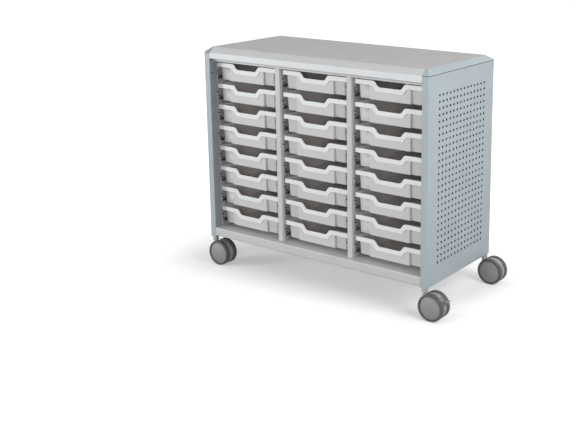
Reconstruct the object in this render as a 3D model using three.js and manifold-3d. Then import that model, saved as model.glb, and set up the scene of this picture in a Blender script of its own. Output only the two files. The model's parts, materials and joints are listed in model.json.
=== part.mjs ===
// Classroom tray storage unit: three columns of pull-out trays in a steel carcass on four twin-wheel casters.
// Millimetres, +Z up. The origin is on the floor under the middle of the carcass, and the front faces -Y.

import * as THREE from 'three';
import { mergeVertices } from 'three/addons/utils/BufferGeometryUtils.js';
import Module from 'manifold-3d';

const wasm = await Module();
wasm.setup();

// Tray sizes, which drive the carcass
const trayWidth = 312;
const trayDepth = 427;
const trayHeight = 72;
const trayWall = 2.5;
const trayDraft = 3.5; // how far each wall leans in from the rim to the floor
const trayCornerRadius = 5;
const rimCornerRadius = 7;
const rimThickness = 3;
const sideRim = 14; // rim overhang beside the tub, which rides on the runners
const rearRim = 12;
const frontRecess = 8; // tub front behind the lip, beside the centre panel
const centrePanelRecess = 1.5; // centre panel behind the lip
const centrePanelMargin = 25; // centre panel beside the finger dip
const lipHeight = 17;
const lipThickness = 3;
const gripWidth = 132; // finger dip in the lip, at the rim
const gripSlope = 16; // width of each sloping end of the dip
const gripDepth = 22;

// Tray layout
const columnNames = ['left', 'centre', 'right'];
const traysPerColumn = 8;
const trayGap = 15; // from one tray's rim up to the floor of the next
const traySideClearance = 5.2;
const trayRearClearance = 8;
const trayFloorClearance = 15;
const trayHeadroom = 19;
const lipSetback = 37; // tray lips behind the front of the carcass

// Carcass sizes
const panelAboveWheels = 11; // lower edge of the side panels above the casters' wheels
const sideThickness = 28;
const sheet = 1.2;
const foldRadius = 6;
const dividerThickness = 23;
const dividerSetback = 25;
const dividerFoldRadius = 4;
const shelfRise = 5; // shelf flange above the lower edge of the side panels
const shelfFlange = 36;
const shelfSheet = 1.5;
const shelfFoldRadius = 3;
const topEdge = 24; // upright front and rear face of the top
const chamferDrop = 23;
const headerSheet = 2; // header strip that hangs from the top, in front of the dividers
const headerClearance = 6; // header strip above the rims of the highest trays
const backThickness = 5;
const fitGap = 0.4;

// Runner sizes
const rackSheet = 2;
const runnerThickness = 2.5;
const runnerRoot = 8;
const runnerTubClearance = 4; // runner edge to the side of the tub
const rackFrontSetback = 12; // runners behind the tray lip

// Caster sizes
const wheelRadius = 52;
const wheelWidth = 20;
const wheelSideClearance = 1.2;
const tyreShoulder = 5;
const tyreDepth = 9; // tread to the hub's outer disc
const hubDiscRecess = 1;
const hubCover = 5; // closed outer end of the wheel's bore
const axleRadius = 5;
const axleClearance = 0.4;
const casterTrail = 38;
const hoodInset = 2.5; // hood inside the wheels' tread
const hoodWidth = 19;
const stemRadius = 5.5;
const stemLength = 60;
const postClearance = 0.5;
const postDrop = 17; // lower end of the posts below the side panels
const stemShoulderGap = 1; // between the hood's neck and the lower end of the post

// Brake lever sizes, measured from its pivot on the front right caster
const brakePivotInset = 6; // pivot inside the hood's edge
const brakePivotAngle = THREE.MathUtils.degToRad(38); // pivot above the level of the axle
const brakeReach = 32;
const brakeRise = 5;
const brakePlate = 4.5;
const brakePedalLength = 12;
const brakeHubRadius = 5.5;
const brakePinRadius = 2;
const brakeCheek = 5; // hood wall on each side of the lever
const brakeSlotClearance = 0.5;
const brakeSlotBack = 9;
const brakeSlotBelow = 16;

// Facets
const cornerSegments = 2; // half the number of facets round a folded corner
const trayCornerSegments = 1;
const wheelFacets = 24;
const hoodFacets = 32;
const postFacets = 20;
const pinFacets = 16;
const mergeDistance = 1e-4;
const cutMargin = 5; // how far a cutting shape runs past what it cuts

// Sizes that follow from the trays
const trayPitch = trayHeight + trayGap;
const centrePanelWidth = gripWidth + 2 * centrePanelMargin;
const tubHalfWidth = trayWidth / 2 - sideRim;
const bayWidth = trayWidth + 2 * traySideClearance;
const bayPitch = bayWidth + dividerThickness;
const width = columnNames.length * bayPitch - dividerThickness + 2 * sideThickness;
const depth = lipSetback + trayDepth + trayRearClearance + backThickness;
const frontY = -depth / 2;
const rearY = depth / 2;
const backFaceY = rearY - backThickness - fitGap;
const panelClearance = 2 * wheelRadius + panelAboveWheels;
const shelfBottom = panelClearance + shelfRise;
const shelfTop = shelfBottom + shelfFlange;
const lowestTray = shelfTop + trayFloorClearance;
const highestRim = lowestTray + (traysPerColumn - 1) * trayPitch + trayHeight;
const topUnderside = highestRim + trayHeadroom;
const chamferFoot = topUnderside + topEdge;
const height = chamferFoot + chamferDrop;
const headerFoot = highestRim + headerClearance;
const headerRear = frontY + dividerSetback - fitGap;
const innerWidth = width - 2 * sideThickness;
const postRadius = (sideThickness - 2 * sheet) / 2 - postClearance;
const postX = width / 2 - sideThickness / 2;
const postY = depth / 2 - sheet - postClearance - postRadius;
const postBottom = panelClearance - postDrop;
const casterWheelOffset = hoodWidth / 2 + wheelSideClearance;
const hoodRadius = wheelRadius - hoodInset;
const brakePivotRadius = hoodRadius - brakePivotInset;
const brakePivotAhead = brakePivotRadius * Math.cos(brakePivotAngle);
const brakePivotAbove = brakePivotRadius * Math.sin(brakePivotAngle);
const brakeSlotWidth = hoodWidth - 2 * brakeCheek;

// Finishes
const finishes = {
  sideSteel: { color: 0xa9b4ba, roughness: 0.5, metalness: 0.1 },
  capGrey: { color: 0xa6a5a3, roughness: 0.6, metalness: 0.0 },
  topGrey: { color: 0x9d9a97, roughness: 0.6, metalness: 0.0 },
  frameGrey: { color: 0xc9c7c4, roughness: 0.5, metalness: 0.1 },
  runnerGrey: { color: 0x8c8985, roughness: 0.5, metalness: 0.2 },
  trayPlastic: { color: 0xd2cfca, roughness: 0.45, metalness: 0.0 },
  casterPlastic: { color: 0x9a9da0, roughness: 0.5, metalness: 0.0 },
  wheelPlastic: { color: 0x5a5c5e, roughness: 0.6, metalness: 0.0 },
  zincSteel: { color: 0xb4b6b8, roughness: 0.35, metalness: 0.8 },
};

const unit = new THREE.Group();

function addPiece(name, geometry, finish, position = [0, 0, 0]) {
  const mesh = new THREE.Mesh(geometry, new THREE.MeshStandardMaterial(finishes[finish]));
  mesh.name = name;
  mesh.position.set(...position);
  unit.add(mesh);
}

// Shapes

function box(low, high) {
  const geometry = new THREE.BoxGeometry(high[0] - low[0], high[1] - low[1], high[2] - low[2]);
  geometry.translate((low[0] + high[0]) / 2, (low[1] + high[1]) / 2, (low[2] + high[2]) / 2);
  return geometry;
}

function outline(points) {
  return new THREE.Shape(points.map(([a, b]) => new THREE.Vector2(a, b)));
}

function roundedRectangle(target, left, right, low, high, radius) {
  target.moveTo(left + radius, low);
  target.lineTo(right - radius, low);
  target.absarc(right - radius, low + radius, radius, -Math.PI / 2, 0, false);
  target.lineTo(right, high - radius);
  target.absarc(right - radius, high - radius, radius, 0, Math.PI / 2, false);
  target.lineTo(left + radius, high);
  target.absarc(left + radius, high - radius, radius, Math.PI / 2, Math.PI, false);
  target.lineTo(left, low + radius);
  target.absarc(left + radius, low + radius, radius, Math.PI, 1.5 * Math.PI, false);
  return target;
}

function extrude(shape, length, curveSegments = cornerSegments) {
  return new THREE.ExtrudeGeometry(shape, { depth: length, bevelEnabled: false, curveSegments });
}

// A section drawn in (x, y), from one height to another
function extrudeUp(shape, low, high, curveSegments) {
  return extrude(shape, high - low, curveSegments).translate(0, 0, low);
}

// A section drawn in (y, z), from one x to another
function extrudeAcross(shape, left, right) {
  const turn = new THREE.Matrix4().set(0, 0, 1, left, 1, 0, 0, 0, 0, 1, 0, 0, 0, 0, 0, 1);
  return extrude(shape, right - left).applyMatrix4(turn);
}

// A section drawn in (x, z), from one y to another
function extrudeBack(shape, front, rear) {
  return extrude(shape, rear - front).rotateX(Math.PI / 2).translate(0, rear, 0);
}

// A faceted rod along Y, from one y to another, round the point (x, z)
function rodAlongY(radius, front, rear, x, z, facets) {
  const geometry = new THREE.CylinderGeometry(radius, radius, rear - front, facets);
  return geometry.translate(x, (front + rear) / 2, z);
}

function rodUp(radius, low, high, facets) {
  const geometry = new THREE.CylinderGeometry(radius, radius, high - low, facets);
  return geometry.rotateX(Math.PI / 2).translate(0, 0, (low + high) / 2);
}

// Joining and cutting

function solidOf(geometry) {
  const bare = geometry.clone();
  bare.deleteAttribute('normal');
  bare.deleteAttribute('uv');
  const merged = mergeVertices(bare, mergeDistance);
  return new wasm.Manifold(new wasm.Mesh({
    numProp: 3,
    vertProperties: new Float32Array(merged.attributes.position.array),
    triVerts: new Uint32Array(merged.index.array),
  }));
}

function geometryOf(solid) {
  const mesh = solid.getMesh();
  const geometry = new THREE.BufferGeometry();
  geometry.setAttribute('position', new THREE.BufferAttribute(mesh.vertProperties, 3));
  geometry.setIndex(new THREE.BufferAttribute(mesh.triVerts, 1));
  return geometry;
}

function join(...geometries) {
  return geometries.map(solidOf).reduce((whole, next) => whole.add(next));
}

// Top: a slab with sloping edges and a header strip under it, between two end caps with hipped ends

function topSection(underside) {
  return outline([
    ...underside,
    [rearY, topUnderside],
    [rearY, chamferFoot],
    [rearY - sideThickness, height],
    [frontY + sideThickness, height],
    [frontY, chamferFoot],
    [frontY, topUnderside],
  ]);
}

function makeTopPanel() {
  const header = [
    [headerRear - headerSheet, topUnderside],
    [headerRear - headerSheet, headerFoot],
    [headerRear, headerFoot],
    [headerRear, topUnderside],
  ];
  const halfLength = innerWidth / 2 - fitGap;
  return extrudeAcross(topSection(header), -halfLength, halfLength);
}

function makeEndCap(side) {
  const foot = chamferFoot + fitGap;
  const slope = outline([
    [side * width / 2, chamferFoot],
    [side * innerWidth / 2, height],
    [side * innerWidth / 2, chamferFoot],
  ]);
  const bar = solidOf(extrudeBack(slope, frontY - cutMargin, rearY + cutMargin));
  const hips = solidOf(extrudeAcross(topSection([]), -width, width));
  const seat = solidOf(box([-width, -depth, foot], [width, depth, height + cutMargin]));
  return geometryOf(bar.intersect(hips).intersect(seat));
}

// Side panels and dividers: one folded sheet each, open at both ends

function foldedTube(left, right, front, rear, radius, low, high) {
  const section = roundedRectangle(new THREE.Shape(), left, right, front, rear, radius);
  const hollow = roundedRectangle(
    new THREE.Path(), left + sheet, right - sheet, front + sheet, rear - sheet, radius - sheet);
  section.holes.push(hollow);
  return extrudeUp(section, low, high);
}

function makeSidePanel() {
  const half = sideThickness / 2;
  return foldedTube(-half, half, frontY, rearY, foldRadius, panelClearance, chamferFoot);
}

function makeDivider() {
  const half = dividerThickness / 2;
  const low = shelfTop + fitGap;
  const high = topUnderside - fitGap;
  return foldedTube(-half, half, frontY + dividerSetback, backFaceY, dividerFoldRadius, low, high);
}

// Bottom shelf: a sheet with flanges turned down along the front and the rear

function makeBottomShelf() {
  const section = new THREE.Shape();
  const inner = shelfFoldRadius - shelfSheet;
  section.moveTo(frontY, shelfBottom);
  section.lineTo(frontY + shelfSheet, shelfBottom);
  section.lineTo(frontY + shelfSheet, shelfTop - shelfFoldRadius);
  section.absarc(frontY + shelfFoldRadius, shelfTop - shelfFoldRadius, inner, Math.PI, Math.PI / 2, true);
  section.lineTo(backFaceY - shelfSheet, shelfTop - shelfSheet);
  section.lineTo(backFaceY - shelfSheet, shelfBottom);
  section.lineTo(backFaceY, shelfBottom);
  section.lineTo(backFaceY, shelfTop);
  section.lineTo(frontY + shelfFoldRadius, shelfTop);
  section.absarc(
    frontY + shelfFoldRadius, shelfTop - shelfFoldRadius, shelfFoldRadius, Math.PI / 2, Math.PI, false);
  const halfLength = innerWidth / 2 - fitGap;
  return extrudeAcross(section, -halfLength, halfLength);
}

// Back panel: a shallow pan whose edges turn forward

function makeBackPanel() {
  const halfLength = innerWidth / 2 - fitGap;
  const low = shelfBottom;
  const high = topUnderside - fitGap;
  const pan = solidOf(box([-halfLength, rearY - backThickness, low], [halfLength, rearY, high]));
  const hollow = box(
    [-halfLength + sheet, rearY - backThickness - cutMargin, low + sheet],
    [halfLength - sheet, rearY - sheet, high - sheet]);
  return geometryOf(pan.subtract(solidOf(hollow)));
}

// Runner rack: an upright plate with one runner under each tray's rim, drawn for the left wall of a bay

function trayBottom(row) {
  return lowestTray + (traysPerColumn - 1 - row) * trayPitch;
}

function makeRunnerRack(side) {
  const wall = -bayWidth / 2 + fitGap;
  const face = wall + rackSheet;
  const edge = -tubHalfWidth - runnerTubClearance;
  const points = [[wall, shelfTop + fitGap], [face, shelfTop + fitGap]];
  for (let row = traysPerColumn - 1; row >= 0; row -= 1) {
    const seat = trayBottom(row) + trayHeight - rimThickness - fitGap;
    points.push([face, seat - runnerRoot], [edge, seat - runnerThickness], [edge, seat], [face, seat]);
  }
  points.push([face, topUnderside - fitGap], [wall, topUnderside - fitGap]);
  const section = outline(points.map(([x, z]) => [-side * x, z]));
  return extrudeBack(section, frontY + lipSetback + rackFrontSetback, backFaceY - fitGap);
}

// Tray: a tub with a rim, a centre panel that stands forward, and a lip with a finger dip
// Its own origin is under the middle of the lip, at the level of its floor

function taperedTub(halfWidth, front, rear, low, high, radius) {
  const section = roundedRectangle(new THREE.Shape(), -halfWidth, halfWidth, front, rear, radius);
  const geometry = extrudeUp(section, low, high, trayCornerSegments);
  const middle = (front + rear) / 2;
  const points = geometry.attributes.position;
  for (let i = 0; i < points.count; i += 1) {
    const lean = trayDraft * (1 - points.getZ(i) / trayHeight);
    points.setX(i, points.getX(i) - Math.sign(points.getX(i)) * lean);
    points.setY(i, points.getY(i) - Math.sign(points.getY(i) - middle) * lean);
  }
  return geometry;
}

function lipEdge(drop) {
  const rim = trayHeight - drop;
  return [
    [-trayWidth / 2, rim],
    [-gripWidth / 2, rim],
    [-gripWidth / 2 + gripSlope, rim - gripDepth],
    [gripWidth / 2 - gripSlope, rim - gripDepth],
    [gripWidth / 2, rim],
    [trayWidth / 2, rim],
  ];
}

function lipBand(drop, thickness) {
  const section = outline([...lipEdge(drop), ...lipEdge(0).reverse()]);
  return extrudeBack(section, 0, thickness);
}

function makeTray() {
  const tubRear = trayDepth - rearRim;
  const panelHalf = centrePanelWidth / 2;
  const panelDepth = frontRecess + trayDraft + trayWall;
  const above = trayHeight + cutMargin;
  const rimPlate = roundedRectangle(
    new THREE.Shape(), -trayWidth / 2, trayWidth / 2, 0, trayDepth, rimCornerRadius);
  const outside = join(
    taperedTub(tubHalfWidth, frontRecess, tubRear, 0, trayHeight, trayCornerRadius),
    box([-panelHalf, centrePanelRecess, 0], [panelHalf, panelDepth, trayHeight]),
    extrudeUp(rimPlate, trayHeight - rimThickness, trayHeight, trayCornerSegments));
  const inside = join(
    taperedTub(
      tubHalfWidth - trayWall, frontRecess + trayWall, tubRear - trayWall,
      trayWall, above, trayCornerRadius - trayWall),
    box(
      [-panelHalf + trayWall, centrePanelRecess + trayWall, trayWall],
      [panelHalf - trayWall, panelDepth + cutMargin, above]));
  const dip = outline([...lipEdge(0).slice(1, -1), [gripWidth / 2, above], [-gripWidth / 2, above]]);
  const dipCut = solidOf(extrudeBack(dip, -cutMargin, panelDepth + cutMargin));
  const front = join(lipBand(lipHeight, lipThickness), lipBand(rimThickness, centrePanelRecess + trayWall));
  return geometryOf(outside.subtract(inside).subtract(dipCut).add(front));
}

// Caster, drawn with its stem on the origin's vertical and its wheels trailing towards +X

function makeWheel() {
  const flat = 1 / Math.cos(Math.PI / wheelFacets); // puts the facets, not their corners, on the radius
  const outer = wheelWidth;
  const bore = axleRadius + axleClearance;
  const hubDiscRadius = wheelRadius - tyreDepth;
  const profile = [
    [0, outer - hubCover],
    [bore, outer - hubCover],
    [bore, 0],
    [wheelRadius - tyreShoulder, 0],
    [wheelRadius, tyreShoulder],
    [wheelRadius, outer - tyreShoulder],
    [wheelRadius - tyreShoulder, outer],
    [hubDiscRadius, outer],
    [hubDiscRadius, outer - hubDiscRecess],
    [0, outer - hubDiscRecess],
  ];
  const points = profile.map(([radius, across]) => new THREE.Vector2(radius * flat, across));
  return new THREE.LatheGeometry(points, wheelFacets).rotateY(Math.PI / wheelFacets);
}

function makeHood(hasBrake) {
  const half = hoodWidth / 2;
  const neckTop = postBottom - stemShoulderGap;
  let hood = join(
    rodAlongY(hoodRadius, -half, half, casterTrail, wheelRadius, hoodFacets),
    box([0, -half, wheelRadius], [casterTrail, half, neckTop]),
    rodUp(half, wheelRadius, neckTop, pinFacets),
    rodUp(stemRadius, neckTop - cutMargin, neckTop + stemLength, pinFacets));
  const axleBore = rodAlongY(
    axleRadius + axleClearance, -hoodWidth, hoodWidth, casterTrail, wheelRadius, pinFacets);
  hood = hood.subtract(solidOf(axleBore));
  if (hasBrake) {
    const pivotX = casterTrail + brakePivotAhead;
    const pivotZ = wheelRadius + brakePivotAbove;
    const slot = box(
      [pivotX - brakeSlotBack, -brakeSlotWidth / 2, pivotZ - brakeSlotBelow],
      [pivotX + hoodRadius, brakeSlotWidth / 2, pivotZ + hoodRadius]);
    const pinHole = rodAlongY(
      brakePinRadius + axleClearance, -hoodWidth, hoodWidth, pivotX, pivotZ, pinFacets);
    hood = hood.subtract(solidOf(slot)).subtract(solidOf(pinHole));
  }
  return geometryOf(hood);
}

function makeAxle() {
  const half = casterWheelOffset + wheelWidth - hubCover - axleClearance;
  return rodAlongY(axleRadius, -half, half, 0, 0, pinFacets);
}

// Brake lever: a hub on a pin between the hood's cheeks, with a pedal that stands out past the wheels

function makeBrakeLever() {
  const half = brakeSlotWidth / 2 - brakeSlotClearance;
  const pedalHalf = hoodWidth / 2;
  const pedalStart = brakeReach - brakePedalLength;
  const slope = brakeRise / brakeReach;
  const arm = outline([
    [0, -brakePlate / 2],
    [brakeReach, brakeRise - brakePlate / 2],
    [brakeReach, brakeRise + brakePlate / 2],
    [0, brakePlate / 2],
  ]);
  const pedal = outline([
    [pedalStart, pedalStart * slope - brakePlate / 2],
    [brakeReach, brakeRise - brakePlate / 2],
    [brakeReach, brakeRise + brakePlate / 2],
    [pedalStart, pedalStart * slope + brakePlate / 2],
  ]);
  return geometryOf(join(
    rodAlongY(brakeHubRadius, -half, half, 0, 0, pinFacets),
    rodAlongY(brakePinRadius, -pedalHalf, pedalHalf, 0, 0, pinFacets),
    extrudeBack(arm, -half, half),
    extrudeBack(pedal, -pedalHalf, pedalHalf)));
}

function makeCornerPost() {
  const section = new THREE.Shape();
  section.absarc(0, 0, postRadius, 0, 2 * Math.PI, false);
  const bore = new THREE.Path();
  bore.absarc(0, 0, stemRadius + axleClearance, 0, 2 * Math.PI, true);
  section.holes.push(bore);
  return extrudeUp(section, postBottom, chamferFoot - fitGap, postFacets / 2);
}

// Carcass

addPiece('top_panel', makeTopPanel(), 'topGrey');
addPiece('bottom_shelf', makeBottomShelf(), 'frameGrey');
addPiece('back_panel', makeBackPanel(), 'frameGrey');
for (const [name, side] of [['left', -1], ['right', 1]]) {
  addPiece(`side_panel_${name}`, makeSidePanel(), 'sideSteel', [side * (width - sideThickness) / 2, 0, 0]);
  addPiece(`end_cap_${name}`, makeEndCap(side), 'capGrey');
  addPiece(`divider_${name}`, makeDivider(), 'frameGrey', [side * bayPitch / 2, 0, 0]);
}

// Bays: two runner racks and a column of trays in each

const trayGeometry = makeTray();
columnNames.forEach((column, index) => {
  const bayX = (index - (columnNames.length - 1) / 2) * bayPitch;
  addPiece(`runner_rack_${column}_bay_left`, makeRunnerRack(-1), 'runnerGrey', [bayX, 0, 0]);
  addPiece(`runner_rack_${column}_bay_right`, makeRunnerRack(1), 'runnerGrey', [bayX, 0, 0]);
  for (let row = 0; row < traysPerColumn; row += 1) {
    const place = [bayX, frontY + lipSetback, trayBottom(row)];
    addPiece(`tray_${column}_${row + 1}`, trayGeometry, 'trayPlastic', place);
  }
});

// Corners: a post inside the side panel, and the caster that plugs into its lower end

for (const [corner, sideX, sideY] of [
  ['front_left', -1, -1], ['front_right', 1, -1], ['rear_left', -1, 1], ['rear_right', 1, 1]]) {
  const stem = [sideX * postX, sideY * postY];
  const axleX = stem[0] + casterTrail;
  const hasBrake = corner === 'front_right';
  addPiece(`corner_post_${corner}`, makeCornerPost(), 'zincSteel', [...stem, 0]);
  addPiece(`caster_hood_${corner}`, makeHood(hasBrake), 'casterPlastic', [...stem, 0]);
  addPiece(`caster_axle_${corner}`, makeAxle(), 'zincSteel', [axleX, stem[1], wheelRadius]);
  const rearWheel = makeWheel();
  const frontWheel = makeWheel().rotateZ(Math.PI);
  addPiece(`caster_wheel_${corner}_fore`, frontWheel, 'wheelPlastic',
    [axleX, stem[1] - casterWheelOffset, wheelRadius]);
  addPiece(`caster_wheel_${corner}_aft`, rearWheel, 'wheelPlastic',
    [axleX, stem[1] + casterWheelOffset, wheelRadius]);
  if (hasBrake) {
    addPiece(`brake_lever_${corner}`, makeBrakeLever(), 'casterPlastic',
      [axleX + brakePivotAhead, stem[1], wheelRadius + brakePivotAbove]);
  }
}

export default unit;
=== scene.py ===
"""Looks of a classroom tray storage unit: sheet steel, trays and casters modelled over its CAD frame."""

import json
import math
from contextlib import contextmanager

import bmesh
import bpy
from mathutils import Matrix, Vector

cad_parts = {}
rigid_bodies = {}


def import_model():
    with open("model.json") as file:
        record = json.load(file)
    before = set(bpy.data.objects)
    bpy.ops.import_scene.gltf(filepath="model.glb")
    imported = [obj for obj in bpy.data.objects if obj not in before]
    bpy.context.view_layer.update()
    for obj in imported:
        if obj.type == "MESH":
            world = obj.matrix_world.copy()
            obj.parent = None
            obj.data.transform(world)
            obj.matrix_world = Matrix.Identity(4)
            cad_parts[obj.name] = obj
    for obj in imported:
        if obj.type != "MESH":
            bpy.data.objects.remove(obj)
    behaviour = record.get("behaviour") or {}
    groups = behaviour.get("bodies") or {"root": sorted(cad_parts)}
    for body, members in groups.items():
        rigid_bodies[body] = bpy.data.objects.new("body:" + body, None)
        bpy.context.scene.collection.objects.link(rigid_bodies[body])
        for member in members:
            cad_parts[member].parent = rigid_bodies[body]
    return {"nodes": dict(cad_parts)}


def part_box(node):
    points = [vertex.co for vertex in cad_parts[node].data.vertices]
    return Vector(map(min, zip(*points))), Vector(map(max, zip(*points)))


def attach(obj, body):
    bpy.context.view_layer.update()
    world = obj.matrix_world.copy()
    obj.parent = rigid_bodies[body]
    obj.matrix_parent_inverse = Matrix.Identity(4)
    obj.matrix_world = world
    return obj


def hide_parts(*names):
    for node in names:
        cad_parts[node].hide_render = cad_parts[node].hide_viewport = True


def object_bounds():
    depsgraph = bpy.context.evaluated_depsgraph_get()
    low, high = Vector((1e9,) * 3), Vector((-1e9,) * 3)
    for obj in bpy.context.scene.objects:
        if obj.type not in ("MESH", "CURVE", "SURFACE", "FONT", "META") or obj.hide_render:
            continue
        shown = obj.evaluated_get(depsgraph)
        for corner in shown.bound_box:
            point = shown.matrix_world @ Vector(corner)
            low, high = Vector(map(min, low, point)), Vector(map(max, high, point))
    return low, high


bpy.ops.object.select_all(action="SELECT")
bpy.ops.object.delete()
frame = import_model()
cad_low, cad_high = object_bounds()

MM = 0.001
TINY = 0.05 * MM
QUARTER = math.pi / 2
ROWS = range(1, 9)
COLUMNS = ("left", "centre", "right")
SIDES = {"left": -1, "right": 1}
CORNERS = ("front_left", "front_right", "rear_left", "rear_right")

# Limits for faces that look along an axis, corners, softened edges and smooth shading
SQUARE_ON = 0.9
CORNER_ANGLE = 0.6
BEVEL_ANGLE = math.radians(35)
SMOOTH_ANGLE = math.radians(40)

# Top
TOP_EDGE = 24 * MM
CHAMFER_DROP = 23 * MM
CHAMFER_RUN = 28 * MM
TOP_ROUND = 3 * MM
LAMINATE = 0.7 * MM
LAMINATE_MARGIN = 2.5 * MM
LAMINATE_ROUND = 0.25 * MM
RAIL_SHEET = 2 * MM
RAIL_GAP = 0.4 * MM
RAIL_ROUND = 0.8 * MM
CAP_SEAM = 1.2 * MM
CAP_SEAM_DEPTH = 6 * MM
CAP_FOOT = 3 * MM
CAP_RIDGE = 2 * MM
CAP_ROUND = 2 * MM

# Sheet steel
SHEET = 1.2 * MM
SIDE_FOLD = 3 * MM
DIVIDER_FOLD = 2.5 * MM
SHELF_FOLD = 4.5 * MM
SHELF_SHEET = 1.5 * MM
SHELF_HEM = 8 * MM
FOLD_STEPS = 6
BACK_MARGIN = 14 * MM
BACK_RECESS = 1.5 * MM
BACK_ROUND = 0.5 * MM

# Perforations of the side panels
HOLE_RADIUS = 5.1 * MM
HOLE_PITCH_Y = 25 * MM
HOLE_PITCH_Z = 24 * MM
HOLE_COLUMNS = 14
HOLE_ROWS = 27
HOLE_FIELD_FOOT = 184 * MM
HOLE_SIDES = 12

# Runner racks
RACK_STAND = 3 * MM
RACK_SHEET = 1 * MM
RACK_LEAD = 12 * MM
RUNNER_PLATE = 2.5 * MM
RUNNER_ROOT = 8 * MM
RUNNER_TAPER = 10 * MM
RUNNER_ROUND = 0.4 * MM
SLOT_WIDTH = 6 * MM
SLOT_HEIGHT = 9 * MM
SLOT_SETBACK = 9 * MM
SLOT_RISES = (8 * MM, 21 * MM)
PIN_RADIUS = 2.6 * MM
PIN_TIP_INSET = 0.4 * PIN_RADIUS
PIN_TIP_RISE = 0.3 * PIN_RADIUS
PIN_REACHES = {"left": 8.5 * MM, "right": 13 * MM}
PIN_RISE = 37 * MM
PIN_SETBACK = 1.5 * MM
PIN_SIDES = 12
CLIP_REACH = 4.5 * MM
CLIP_START = 0.5 * MM
CLIP_PLAY = 0.3 * MM
CLIP_ROUND = 0.8 * MM
STOP_REACH = (8.5 * MM, 14.3 * MM)
STOP_RISE = (6 * MM, 18 * MM)
STOP_SETBACK = 8 * MM
STOP_DEPTH = 9 * MM
STOP_ROUND = 1 * MM

# Screws
SCREW_SIDES = 16
BACK_SCREW = 4.5 * MM
BACK_SCREW_COLUMNS = 5
BACK_SCREW_ROWS = 4
WALL_SCREW = 3 * MM
WALL_SCREW_SETBACK = 14 * MM
WALL_SCREW_HEIGHTS = (866 * MM, 811 * MM)

# Trays
TRAY_WALL = 2 * MM
TRAY_SIDE_RIM = 14 * MM
TRAY_REAR_RIM = 12 * MM
TRAY_FRONT_RECESS = 8 * MM
TRAY_DRAFT = 3.5 * MM
TRAY_CORNER = 3.5 * MM
TRAY_FOOT_ROUND = 2.5 * MM
TRAY_RIM_SEAT = 3.4 * MM
PANEL_MARGIN = 25 * MM
PANEL_RECESS = 2.6 * MM
PANEL_CORNER = 2.5 * MM
LIP_HEIGHT = 17 * MM
DIP_WIDTH = 132 * MM
DIP_SLOPE = 16 * MM
DIP_DEPTH = 22 * MM
DIP_ROUND = 7 * MM
TRAY_EDGE = 0.6 * MM

# Casters
WHEEL_RADIUS = 52 * MM
WHEEL_WIDTH = 20 * MM
TYRE_DEPTH = 8.2 * MM
TYRE_SHOULDER = 4 * MM
TYRE_ROUND = 0.6 * MM
HUB_RECESS = 3 * MM
HUB_DOME = 7 * MM
HUB_RINGS = 5
HUB_ROUND = 1 * MM
AXLE_BORE = 5.4 * MM
AXLE_BORE_DEPTH = 15.2 * MM
HOOD_RADIUS = 49.5 * MM
HOOD_WIDTH = 19 * MM
HOOD_ROUND = 1 * MM
COLLAR_RADIUS = 10.2 * MM
COLLAR_FOOT = 60 * MM
COLLAR_TOP = 97 * MM
COLLAR_ROUND = 0.5 * MM
STEM_RADIUS = 5.5 * MM
STEM_TOP = 157 * MM
STEM_PLAY = 0.6 * MM
STEM_HEADROOM = 2 * MM
POST_ROUND = 0.8 * MM
CASTER_TRAIL = 38 * MM
WHEEL_GAP = 1.2 * MM
WHEEL_SIDES = 72
POST_SIDES = 40
BORE_SIDES = 24
BRAKE_ANGLE = math.radians(38)
BRAKE_RADIUS = HOOD_RADIUS - 6 * MM
BRAKE_PIVOT = Vector((CASTER_TRAIL + BRAKE_RADIUS * math.cos(BRAKE_ANGLE), 0,
                      WHEEL_RADIUS + BRAKE_RADIUS * math.sin(BRAKE_ANGLE)))
BRAKE_REACH = 32 * MM
BRAKE_RISE = 5 * MM
BRAKE_PLATE = 4.5 * MM
BRAKE_PEDAL = 12 * MM
BRAKE_CORNER = 2.5 * MM
BRAKE_ROUND = 0.5 * MM
BRAKE_HUB = 5.5 * MM
BRAKE_HUB_SIDES = 32
BRAKE_PIN = 2 * MM
BRAKE_PIN_PLAY = 0.4 * MM
BRAKE_PIN_SIDES = 16
BRAKE_ARM = 8 * MM
BRAKE_ARM_PLAY = 0.5 * MM
BRAKE_SLOT_START = 6.5 * MM
BRAKE_SLOT_DEPTH = 16 * MM
RIB_PITCH = BRAKE_PEDAL / 3.4
RIB_HALF = 0.7 * MM
RIB_OVERHANG = 1.5 * MM
RIB_SUNK = 0.2 * MM
RIB_RISE = 0.6 * MM
RIB_ROUND = 0.3 * MM

# Colours
LAMINATE_COLOUR = (0.54, 0.516, 0.523)
EDGING_COLOUR = (0.645, 0.668, 0.68)
SLOPE_COLOUR = (0.56, 0.562, 0.565)
CAP_COLOUR = (0.382, 0.435, 0.466)
SIDE_COLOUR = (0.348, 0.402, 0.43)
# Painted shade: a deeper tone of the side paint for the inner skins, and near-black for the hollow behind
# the holes
SKIN_SHADE_COLOUR = (0.235, 0.258, 0.271)
HOLLOW_SHADE_COLOUR = (0.02, 0.02, 0.02)
FRAME_COLOUR = (0.52, 0.514, 0.509)
RUNNER_COLOUR = (0.355, 0.341, 0.33)
# Near-black: dark plastic, made darker as painted shade for the shaded gaps, slots and holes beside the
# trays
PIN_DARK_AND_SHADE_COLOUR = (0.015, 0.015, 0.015)
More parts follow.
